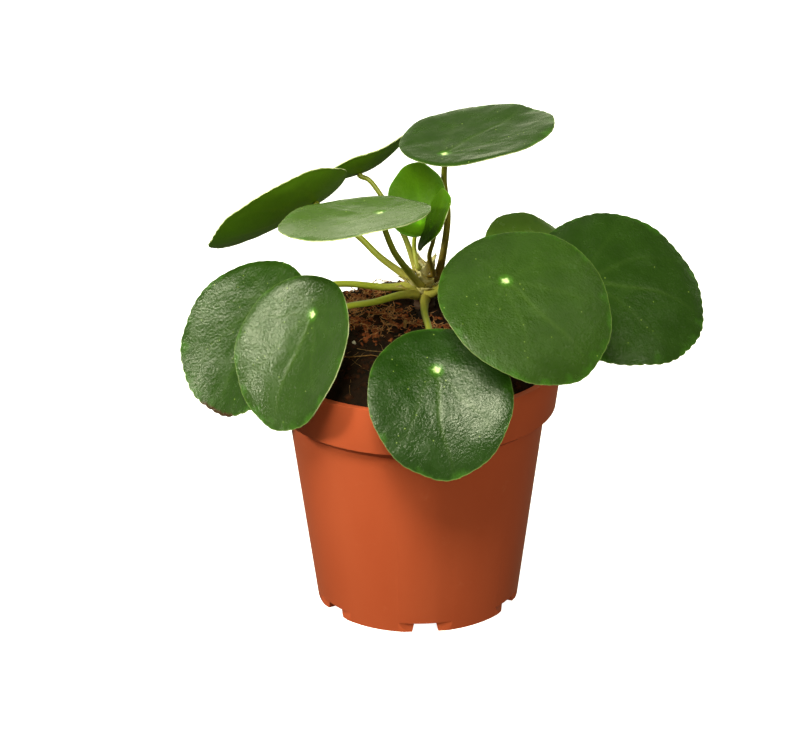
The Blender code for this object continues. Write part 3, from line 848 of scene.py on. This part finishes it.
def shaped_blade(leaf, phase):
    """For each point of the disc: its place in mm about the hub, its vein strength and its distance
    from the margin in mm."""
    half_length = leaf.length / 2
    half_width = leaf.width / 2
    lobes = round(math.pi * (half_length + half_width) / LOBE_SPACING)
    shift = Vector((3.1 * phase, -1.7 * phase, 5 * phase))
    places, veins, margins = [], [], []
    for vertex in disc.data.vertices:
        reach = min(1.0, vertex.co.xy.length)
        angle = math.atan2(vertex.co.y, vertex.co.x)
        lobe = abs(math.sin(lobes * angle / 2 + phase)) ** LOBE_ROUNDNESS - 1
        rim = 1 + SCALLOP * reach * math.sin(SCALLOPS * angle + phase)
        rim += LOBE * leaf.lobes * lobe * reach**6
        x = reach * rim * (half_length - leaf.base + half_length * math.cos(angle))
        y = reach * rim * half_width * math.sin(angle)
        z = leaf.dish_ends * (x / half_length) ** 2 + leaf.dish_sides * (y / half_width) ** 2
        z += leaf.fold * (math.hypot(y / half_width, FOLD_SHARPNESS) - FOLD_SHARPNESS - FOLD_DROP)
        z += RIPPLE * reach**3 * math.sin(RIPPLES * angle + 2 * phase)
        vein = vein_strength(x, y, reach, phase)
        spot = Vector((x, y, 0)) + shift
        quilting = noise.noise(spot / QUILT_SIZE) * QUILT_DEPTH * leaf.size
        quilting += noise.noise(spot / PUCKER_SIZE) * PUCKER_DEPTH
        z += quilting * min(1.0, 3 * reach) * (1 - 0.6 * vein)
        z -= VEIN_DEPTH * leaf.size * vein
        z -= HUB_DIMPLE * leaf.size * math.exp(-(math.hypot(x, y) / HUB_SIZE) ** 2)
        z -= MARGIN_ROLL * (max(0.0, reach - MARGIN_ROLL_START) / (1 - MARGIN_ROLL_START)) ** 2
        places.append((x, y, z))
        veins.append(vein)
        margins.append((1 - reach) * min(half_length, half_width))
    return np.array(places), np.array(veins), np.array(margins)


# %% A whole blade
SCORCH_WIDTH = 1.5
SCORCH_FADING = 8
MARGIN_THINNING = 0.45
THINNING_WIDTH = 4
SMOOTH_BLADE_ANGLE = 50


def scorch_strength(leaf, margins):
    """1 where the margin has gone brown and 0 elsewhere, for each point of the disc."""
    if not leaf.scorch:
        return np.zeros(len(margins))
    start, end = leaf.scorch
    angles = [math.degrees(math.atan2(vertex.co.y, vertex.co.x)) for vertex in disc.data.vertices]
    angles = np.array(angles)
    along = np.clip(np.minimum(angles - start, end - angles) / SCORCH_FADING, 0, 1)
    return along * np.clip(1 - margins / SCORCH_WIDTH, 0, 1)


def make_blade(leaf, phase, *materials):
    """A blade in its place, with the materials of its upper face, its underside and its rim."""
    blade = own_copy(disc)
    blade.name = f"leaf_{leaf.name}"
    mesh = blade.data
    places, veins, margins = shaped_blade(leaf, phase)
    mesh.vertices.foreach_set("co", (places * MM).ravel())
    everywhere = np.ones(len(margins))
    patterns = {"vein": veins, "margin": margins, "scorch": scorch_strength(leaf, margins),
                "tone": everywhere * leaf.tone, "crinkle": everywhere * leaf.crinkle}
    for pattern, values in patterns.items():
        mesh.attributes.new(pattern, "FLOAT", "POINT").data.foreach_set("value", values)
    corners = np.zeros(len(mesh.loops), dtype=int)
    mesh.loops.foreach_get("vertex_index", corners)
    mesh.uv_layers.new(name="blade_mm").data.foreach_set("uv", places[corners, :2].ravel())
    if sum(face.normal.z * face.area for face in mesh.polygons) < 0:
        mesh.flip_normals()
    for material in materials:
        mesh.materials.append(material)
    thick = blade.vertex_groups.new(name="thick")
    for index, margin in enumerate(margins):
        thick.add([index], 1 - MARGIN_THINNING * max(0.0, 1 - margin / THINNING_WIDTH), "REPLACE")
    solidify = blade.modifiers.new("flesh", "SOLIDIFY")
    solidify.thickness = BLADE_THICKNESS * MM
    solidify.offset = -1
    solidify.vertex_group = "thick"
    solidify.material_offset = 1
    solidify.material_offset_rim = 2
    apply_modifiers(blade)
    bpy.ops.object.shade_smooth_by_angle(angle=math.radians(SMOOTH_BLADE_ANGLE))
    blade.data.transform(Matrix.Translation(Vector(leaf.hub) * MM) @ blade_frame(leaf))
    finish_piece(blade, "young_leaf" if "young" in leaf.name else "leaf", f"blade_{leaf.name}")


# %% [markdown]
# The upper face of a money plant's leaf is glossy as if waxed, yet its skin is finely crinkled, so a
# highlight breaks up into tiny glints. Its green is deep and a little blotchy. How light it is differs
# from leaf to leaf: darker on an old leaf, and, as painted light, lighter on a leaf that stands in
# shade.
# Where the stalk joins there is a bright yellow-green dot with a soft halo, and the margin is a thin
# pale line. Coordinates come from the blade's own map, in millimetres from the hub, so each pattern has
# its real size.

# %% The greens of a leaf's upper face
BLOTCH_SIZE = 11
BLOTCH_LIMITS = (0.3, 0.7)
SPECK_SPACING = 2.6
SPECK_SHARE_LEFT_OUT = 0.86
SPECK_COLOUR = "98B058"


def leaf_green(tree, flat, greens, vein_colour):
    """The green with its veins and specks, and the blotches that the gloss follows too."""
    # The tone mixes a dark and a light palette: partly the leaf's age, partly painted light for a shaded
    # leaf.
    tone = add_node(tree, "Attribute", attribute_name="tone").outputs["Fac"]
    blotches = add_node(tree, "TexNoise", {"Vector": flat, "Scale": 1 / BLOTCH_SIZE, "Detail": 6,
                                           "Roughness": 0.62})
    darker_palette = blend(tree, blotches, BLOTCH_LIMITS, greens[0], greens[1])
    lighter_palette = blend(tree, blotches, BLOTCH_LIMITS, greens[2], greens[3])
    green = add_node(tree, "Mix", {0: tone, 6: darker_palette, 7: lighter_palette}, data_type="RGBA")
    vein = add_node(tree, "Attribute", attribute_name="vein").outputs["Fac"]
    veined = blend(tree, vein, (0, 1), green, vein_colour, (0, 0.12))
    cells = add_node(tree, "TexVoronoi", {"Vector": flat, "Scale": 1 / SPECK_SPACING})
    near = add_node(tree, "MapRange", {"Value": cells, "From Min": 0.06, "From Max": 0.12, "To Min": 0.8,
                                       "To Max": 0})
    lot = add_node(tree, "SeparateColor", {"Color": cells.outputs["Color"]}).outputs["Red"]
    drawn = add_node(tree, "Math", {0: lot, 1: SPECK_SHARE_LEFT_OUT}, operation="GREATER_THAN")
    speck = add_node(tree, "Math", {0: near, 1: drawn}, operation="MULTIPLY")
    return add_node(tree, "Mix", {0: speck, 6: veined, 7: SPECK_COLOUR}, data_type="RGBA"), blotches


# %% The hub and the margin
# Each ring of colour shows in full up to the first distance and is gone from the second, in mm. The halo
# and the core go by the distance from the hub with noise added to it, the band by the distance from the
# margin with noise taken off it, and the edge by the distance from the margin alone. Then come the share
# of the colour where it shows in full, and how it fades.
HALO = ((2.2, 5.4), (0.6, 0), "SMOOTHSTEP")
CORE = ((2.0, 3.4), (1, 0), "SMOOTHSTEP")
BAND = ((-11.5, -7.0), (0.55, 0), "SMOOTHSTEP")
EDGE = ((0, 0.3), (0.4, 0), "LINEAR")
FRAY_SIZE = 1.5
FRAY_DEPTH = 3.0
BAND_PATCH_SIZE = 8
BAND_PATCH_DEPTH = 18.0
SCORCH_COLOUR = "3A2010"


def hub_and_margin(tree, flat, green, colours):
    """The green with a halo and a core at the hub, and a ragged band and a thin edge at the margin."""
    from_hub = add_node(tree, "VectorMath", {0: flat}, operation="LENGTH")
    uneven = add_node(tree, "TexNoise", {"Vector": flat, "Scale": 1 / FRAY_SIZE, "Detail": 3})
    frayed = add_node(tree, "Math", {0: uneven, 1: FRAY_DEPTH, 2: from_hub}, operation="MULTIPLY_ADD")
    margin = add_node(tree, "Attribute", attribute_name="margin").outputs["Fac"]
    patches = add_node(tree, "TexNoise", {"Vector": flat, "Scale": 1 / BAND_PATCH_SIZE, "Detail": 5})
    ragged = add_node(tree, "Math", {0: patches, 1: -BAND_PATCH_DEPTH, 2: margin},
                      operation="MULTIPLY_ADD")
    rings = ((frayed, HALO), (frayed, CORE), (ragged, BAND), (margin, EDGE))
    for (distance, (limits, shares, fading)), colour in zip(rings, colours):
        green = blend(tree, distance, limits, green, colour, shares, fading)
    scorch = add_node(tree, "Attribute", attribute_name="scorch").outputs["Fac"]
    patchy = add_node(tree, "Math", {0: scorch, 1: uneven, 2: -0.1}, operation="MULTIPLY_ADD")
    return blend(tree, patchy, (0, 0.2), green, SCORCH_COLOUR)


# %% The relief of a leaf's upper face
CREASE_SIZE = 0.78
PEBBLE_SIZE = 0.92


def leaf_relief(tree, flat):
    """Fine creases and pebbles in the skin, about a millimetre apart, as the real ones are."""
    creases = add_node(tree, "TexNoise", {"Vector": flat, "Scale": 1 / CREASE_SIZE, "Detail": 4,
                                          "Roughness": 0.6, "Distortion": 1.4})
    pebbles = add_node(tree, "TexVoronoi", {"Vector": flat, "Scale": 1 / PEBBLE_SIZE},
                       feature="SMOOTH_F1")
    height = add_node(tree, "Math", {0: creases, 1: pebbles}, operation="SUBTRACT")
    crinkle = add_node(tree, "Attribute", attribute_name="crinkle").outputs["Fac"]
    depth = add_node(tree, "Math", {0: crinkle, 1: MM}, operation="MULTIPLY")
    return add_node(tree, "Bump", {"Height": height, "Distance": depth})


# %% Leaf skin
def leaf_material(name, greens, vein_colour, highlights, gloss, specular=0.5):
    """A leaf's face. highlights: halo, core, band and edge. gloss: its roughness, near 0 a mirror."""
    material, tree, shader = new_material(name, gloss, ior=1.45)
    flat = add_node(tree, "UVMap", uv_map="blade_mm")
    green, blotches = leaf_green(tree, flat, greens, vein_colour)
    colour = hub_and_margin(tree, flat, green, highlights)
    sheen = add_node(tree, "MapRange", {"Value": blotches, "From Min": BLOTCH_LIMITS[0],
                                        "From Max": BLOTCH_LIMITS[1], "To Min": gloss - 0.05,
                                        "To Max": gloss + 0.06})
    relief = leaf_relief(tree, flat)
    set_inputs(shader, {"Base Color": colour, "Roughness": sheen, "Normal": relief,
                        "Specular IOR Level": specular})
    return material


mature = leaf_material("waxy leaf skin", ("1A330A", "223D0F", "4E6E22", "5A7A2A"), "6C8A42",
                       ("4F8A1E", "DEF0B0", "3C6A1A", "9CB068"), 0.25)
young = leaf_material("young leaf skin", ("335703", "416304", "335703", "416304"), "5E901A",
                      ("447A06", "568A0C", "3E6E08", "74A428"), 0.45, specular=0.15)
print("leaf materials:", mature.name, young.name)

# %% [markdown]
# The underside is matte and paler, with the main veins showing a little. The narrow edge between both
# faces is paler still; its lighter colour, in places almost white, is a painted highlight, which draws
# the thin bright line where light catches the edge.

# %% Leaf underside and rim
PALE_BLOTCH_SIZE = 7
DIMPLE_SIZE = 0.9


def plain_skin(name, dark, light, vein_colour, roughness, contrast=1):
    """A matte skin: two greens in blotches, with its veins and its scorched margin."""
    material, tree, shader = new_material(name, roughness, ior=1.4)
    flat = add_node(tree, "UVMap", uv_map="blade_mm")
    blotches = add_node(tree, "TexNoise", {"Vector": flat, "Scale": 1 / PALE_BLOTCH_SIZE, "Detail": 5,
                                           "Roughness": 0.6})
    green = blend(tree, blotches, (0.5 - 0.5 / contrast, 0.5 + 0.5 / contrast), dark, light)
    vein = add_node(tree, "Attribute", attribute_name="vein").outputs["Fac"]
    veined = blend(tree, vein, (0, 1), green, vein_colour, (0, 0.35))
    scorch = add_node(tree, "Attribute", attribute_name="scorch").outputs["Fac"]
    colour = add_node(tree, "Mix", {0: scorch, 6: veined, 7: SCORCH_COLOUR}, data_type="RGBA")
    dimples = add_node(tree, "TexNoise", {"Vector": flat, "Scale": 1 / DIMPLE_SIZE, "Detail": 3})
    relief = add_node(tree, "Bump", {"Height": dimples, "Strength": 0.3, "Distance": 0.2 * MM})
    set_inputs(shader, {"Base Color": colour, "Normal": relief, "Specular IOR Level": 0.2})
    return material


underside = plain_skin("leaf underside", "5E8818", "6C9A20", "8AA43C", 0.6)
young_underside = plain_skin("young leaf underside", "3A6E04", "487F08", "7CA62C", 0.55)
# The rim's pale colour is partly its own and partly a painted highlight.
leaf_rim_painted_highlight = plain_skin("leaf rim", "768A44", "E4E8BE", "9CA868", 0.45, contrast=4)

for index, leaf in enumerate(LEAVES):
    faces = (young, young_underside) if "young" in leaf.name else (mature, underside)
    make_blade(leaf, index, *faces, leaf_rim_painted_highlight)
bpy.data.objects.remove(disc, do_unlink=True)

# %% [markdown]
# A petiole is a round, juicy stalk. It leaves the stem with a swollen heel, bends where the leaf's
# weight pulls it, and widens a little where it meets the blade. A curve with a bevel makes it, and the
# radius at each point of the curve gives the swellings.

# %% The petioles
STEM_PROFILE = ((106, 3.4), (113, 3.6), (118, 4.1), (123, 4.4), (128, 4.3), (132, 3.8), (136, 2.6))
PETIOLE_BASE_RADIUS = 1.5
PETIOLE_TOP_RADIUS = 1.15
PETIOLE_HEEL = 2.8
PETIOLE_HEEL_RISE = 0.8
PETIOLE_NECK = 1.8
PETIOLE_IN_BARK = 0.6
PETIOLE_IN_BLADE = 0.8
PETIOLE_KNOTS = 70
ROUTE_PARTS = 24
HEEL_SWELLING = 0.6
HEEL_LENGTH = 0.085
NECK_SWELLING = 0.5
NECK_LENGTH = 0.03
END_NARROWING = 0.55


def stem_radius(height):
    """The stem's radius at a height, both in mm."""
    for (low, first), (high, second) in zip(STEM_PROFILE, STEM_PROFILE[1:]):
        if low <= height <= high:
            return first + (second - first) * (height - low) / (high - low)
    return STEM_PROFILE[-1][1]


def petiole_points(leaf):
    """From inside the stem's bark to inside the blade, through the route."""
    angle, height = leaf.foot
    outwards = Vector((math.cos(math.radians(angle)), math.sin(math.radians(angle)), 0))
    heel = Vector((STEM_X / MM, STEM_Y / MM, height))
    heel += outwards * (stem_radius(height) - PETIOLE_IN_BARK)
    toe = heel + outwards * PETIOLE_HEEL + Vector((0, 0, PETIOLE_HEEL_RISE))
    up = (blade_frame(leaf) @ Vector((0, 0, 1, 0))).to_3d()
    sink = HUB_DIMPLE + FOLD_DROP * leaf.fold + PETIOLE_IN_BLADE * BLADE_THICKNESS
    top = Vector(leaf.hub) - up * sink
    arriving = (top - Vector(leaf.route[-1])).normalized()
    neck = top - (up + arriving).normalized() * PETIOLE_NECK
    return [heel, toe] + [Vector(point) for point in leaf.route] + [neck, top]


def smooth_route(points, count):
    """Even samples of a curve by Catmull and Rom's rule, with straight first and last stretches."""
    fine = [points[0].lerp(points[1], part / ROUTE_PARTS) for part in range(ROUTE_PARTS)]
    for p0, p1, p2, p3 in zip(points, points[1:], points[2:], points[3:]):
        for part in range(ROUTE_PARTS):
            t = part / ROUTE_PARTS
            fine.append(0.5 * (2 * p1 + (p2 - p0) * t + (2 * p0 - 5 * p1 + 4 * p2 - p3) * t**2
                               + (3 * p1 - p0 - 3 * p2 + p3) * t**3))
    fine += [points[-2].lerp(points[-1], part / ROUTE_PARTS) for part in range(ROUTE_PARTS + 1)]
    steps = [0.0] + [(after - before).length for before, after in zip(fine, fine[1:])]
    walked = np.cumsum(steps)
    goals = np.linspace(0, walked[-1], count)
    return [Vector([np.interp(goal, walked, [point[axis] for point in fine]) for axis in range(3)])
            for goal in goals]


def make_petiole(leaf, material):
    """A stalk along its route, thick at its heel and a little at its neck."""
    route = smooth_route(petiole_points(leaf), PETIOLE_KNOTS)
    radii = []
    for index in range(PETIOLE_KNOTS):
        share = index / (PETIOLE_KNOTS - 1)
        radius = PETIOLE_BASE_RADIUS + (PETIOLE_TOP_RADIUS - PETIOLE_BASE_RADIUS) * share
        radius *= 1 + HEEL_SWELLING * math.exp(-share / HEEL_LENGTH)
        radius *= 1 + NECK_SWELLING * math.exp(-(1 - share) / NECK_LENGTH)
        radii.append(radius * leaf.size * MM)
    radii[-1] *= END_NARROWING
    petiole = tube(f"stalk_{leaf.name}", [point * MM for point in route], radii, resolution=6)
    finish_piece(petiole, "petiole", f"petiole_{leaf.name}", material=material)


# %% [markdown]
# The stalks of the outer leaves are yellow-green. The older, upright ones turn olive and then brown
# towards the crown. All are smooth and satiny, with a fine, faint mottling. So the colour follows the
# distance from the crown, and a fine noise draws the mottling. On the yellow-green and the olive stalks
# the colour at the crown is paler than their own: painted light, where the leaves above shade the crown.

# %% Stalk skin
CROWN = (STEM_X, STEM_Y, 128 * MM)
MOTTLE_SIZE = MM / 0.7
MOTTLE_COLOUR = "8C8A3A"
BRIGHT = ("left", "front_left", "young_tall", "right", "back_right")
BROWN = ("top", "young_small")


def stalk_material(name, near, far, reach):
    """A satiny skin: one colour at the crown, another one beyond the reach, and the mottling."""
    material, tree, shader = new_material(name, 0.4, ior=1.42)
    place = add_node(tree, "TexCoord").outputs["Object"]
    away = add_node(tree, "VectorMath", {0: place, 1: CROWN}, operation="DISTANCE")
    skin = blend(tree, away, (4 * MM, reach), near, far)
    mottles = add_node(tree, "TexNoise", {"Vector": place, "Scale": 1 / MOTTLE_SIZE, "Detail": 4,
                                          "Roughness": 0.6})
    colour = blend(tree, mottles, (0.4, 0.8), skin, MOTTLE_COLOUR, (0, 0.3))
    relief = add_node(tree, "Bump", {"Height": mottles, "Strength": 0.3, "Distance": 0.15 * MM})
    set_inputs(shader, {"Base Color": colour, "Normal": relief})
    return material


# The colours at the crown of these two are made pale: painted light on the shaded crown.
bright_stalk = stalk_material("bright green stalk", "CCC468", "B4BE3C", 22 * MM)
olive_stalk = stalk_material("olive stalk", "BCB056", "828828", 24 * MM)
brown_stalk = stalk_material("stalk turning brown", "6E4E14", "848A2C", 58 * MM)
for leaf in LEAVES:
    skin = bright_stalk if leaf.name in BRIGHT else brown_stalk if leaf.name in BROWN else olive_stalk
    make_petiole(leaf, skin)

# %% [markdown]
# The stem is short and woody. Rings on its bark are the scars of leaves that it has dropped, and dry,
# papery stipules stand round its crown. The stem is turned from rings, as the pot is, and then dented. A
# stipule is a small grid bent to a pointed, cupped scale, and copies of it, each with a length, a width
# and a lean of its own, are set round the crown before Solidify gives them their thickness.

# %% The stem
STEM_SIDES = 48
STEM_RINGS = 90
STEM_TOP = 137.0
STEM_SHOULDER = 136.0
STEM_ROUNDING = 2.2
STEM_FOOT = 106.0
BROAD_DENT = 3.0 * MM
FINE_DENT = 1.0 * MM

stem_rings = []
for height in spaced(STEM_TOP, STEM_FOOT, STEM_RINGS):
    scar = 0.18 * math.sin(height * 2.1) + 0.1 * math.sin(height * 4.7 + 1)
    radius = stem_radius(min(height, STEM_SHOULDER))
    if height >= STEM_SHOULDER:
        radius *= 1 - (height - STEM_SHOULDER) / STEM_ROUNDING
    stem_rings.append(((radius + scar * min(1.0, radius / 3)) * MM, height * MM))
stem = turned_piece("stem_bark", stem_rings, STEM_SIDES)
for vertex in stem.data.vertices:
    dent = noise.noise(vertex.co / BROAD_DENT) * 0.35 * MM
    dent += noise.noise(vertex.co / FINE_DENT) * 0.12 * MM
    vertex.co += Vector((vertex.co.x, vertex.co.y, 0)).normalized() * dent
to_stem = Matrix.Translation((STEM_X, STEM_Y, 0))
stem.data.transform(to_stem)
stem.data.shade_smooth()
print("stem rings:", len(stem_rings))

# %% Bark
BARK_GRAIN = 2.5 * MM

bark, tree, shader = new_material("young bark, brown at its foot", 0.7)
place = add_node(tree, "TexCoord").outputs["Object"]
height = add_node(tree, "SeparateXYZ", {0: place}).outputs["Z"]
uneven = add_node(tree, "TexNoise", {"Vector": place, "Scale": 1 / BARK_GRAIN, "Detail": 6,
                                     "Roughness": 0.65})
border = add_node(tree, "Math", {0: uneven, 1: 6 * MM, 2: height}, operation="MULTIPLY_ADD")
brown = add_node(tree, "Mix", {0: uneven, 6: "24140C", 7: "5A3A2A"}, data_type="RGBA")
# The green at the top is paler than the bark's own: painted light on the crown that the leaves shade.
green = add_node(tree, "Mix", {0: uneven, 6: "B4A650", 7: "EEE49C"}, data_type="RGBA")
colour = blend(tree, border, (128 * MM, 133 * MM), brown, green)
relief = add_node(tree, "Bump", {"Height": uneven, "Strength": 0.7, "Distance": 0.4 * MM})
set_inputs(shader, {"Base Color": colour, "Normal": relief})
finish_piece(stem, "stem", "stem", material=bark)

# %% Papery stipules
# One stipule: its angle round the stem, how far outside the bark it stands, its height, its length and
# width, and how far it leans outwards.
STIPULES = (
    (-170, -0.3, 132, 7, 5, 25),
    (-150, -0.3, 131, 6, 4, 25),
    (-60, -0.3, 130, 6, 4, 40),
    (-20, -0.3, 128, 7, 5, 38),
    (-20, -0.3, 134, 9, 6, 12),
    (45, -0.3, 134, 8, 6, 25),
    (90, -0.3, 126, 9, 6, 38),
    (120, -0.3, 134, 8, 6, 12),
    (85, -0.3, 122, 7, 5, 25),
    (-168, 3.4, 130.5, 5, 4, 45),
    (-152, 4.6, 128.5, 5, 4.5, 60),
    (-138, 2.4, 130, 6, 4.5, 35),
    (-118, 1.6, 131, 6, 5, 30),
    (-98, 1.2, 131, 7, 5, 20),
    (-80, 2, 128.5, 6, 5, 55),
    (-52, 1.6, 128, 6, 5, 50),
    (-34, 2.2, 127, 7, 6, 58),
    (-14, 2.4, 128.5, 6, 5, 48),
    (-78, 0.4, 134, 8, 5, 15),
    (-112, 0.3, 134.5, 8, 5, 8),
)
SCALE_COLUMNS = 8
SCALE_ROWS = 12
PAPER_THICKNESS = 0.25 * MM


def flat_scale():
    """A pointed scale, one unit wide at its foot and one long, cupped and curled outwards at its tip."""
    deselect()
    bpy.ops.mesh.primitive_grid_add(x_subdivisions=SCALE_COLUMNS, y_subdivisions=SCALE_ROWS, size=1)
    scale = bpy.context.object
    for vertex in scale.data.vertices:
        across, up = vertex.co.x, vertex.co.y + 0.5
        width = (1 - up**1.6) * (0.75 + 0.5 * math.sin(math.pi * min(1, up * 1.4)))
        crinkle = 0.05 * noise.noise(Vector((across * 5, up * 5, 0)))
        vertex.co = Vector((0.14 * up**2 - 0.5 * (across * width) ** 2 + crinkle, across * width, up))
    return scale


scale = flat_scale()
copies = []
for angle, out, height, length, width, lean in STIPULES:
    foot = Matrix.Translation(((stem_radius(height) + out) * MM, 0, height * MM))
    shape = Matrix.Diagonal((width * MM, width * MM, length * MM, 1))
    copies.append(own_copy(scale))
    copies[-1].data.transform(to_stem @ turned_by(angle) @ foot @ turned_by(lean, "Y") @ shape)
stipules = join_copies("stipules", copies)
bpy.data.objects.remove(scale, do_unlink=True)
paper_skin = stipules.modifiers.new("paper", "SOLIDIFY")
paper_skin.thickness = PAPER_THICKNESS
apply_modifiers(stipules)
stipules.data.shade_smooth()
# The stipules are pale and papery; their colours are lighter still, painted light for the shaded crown.
finish_piece(stipules, "stem", material=earth_material("dry stipules", "E2CC7C", "FFFAD8", 3 * MM, 0.6))
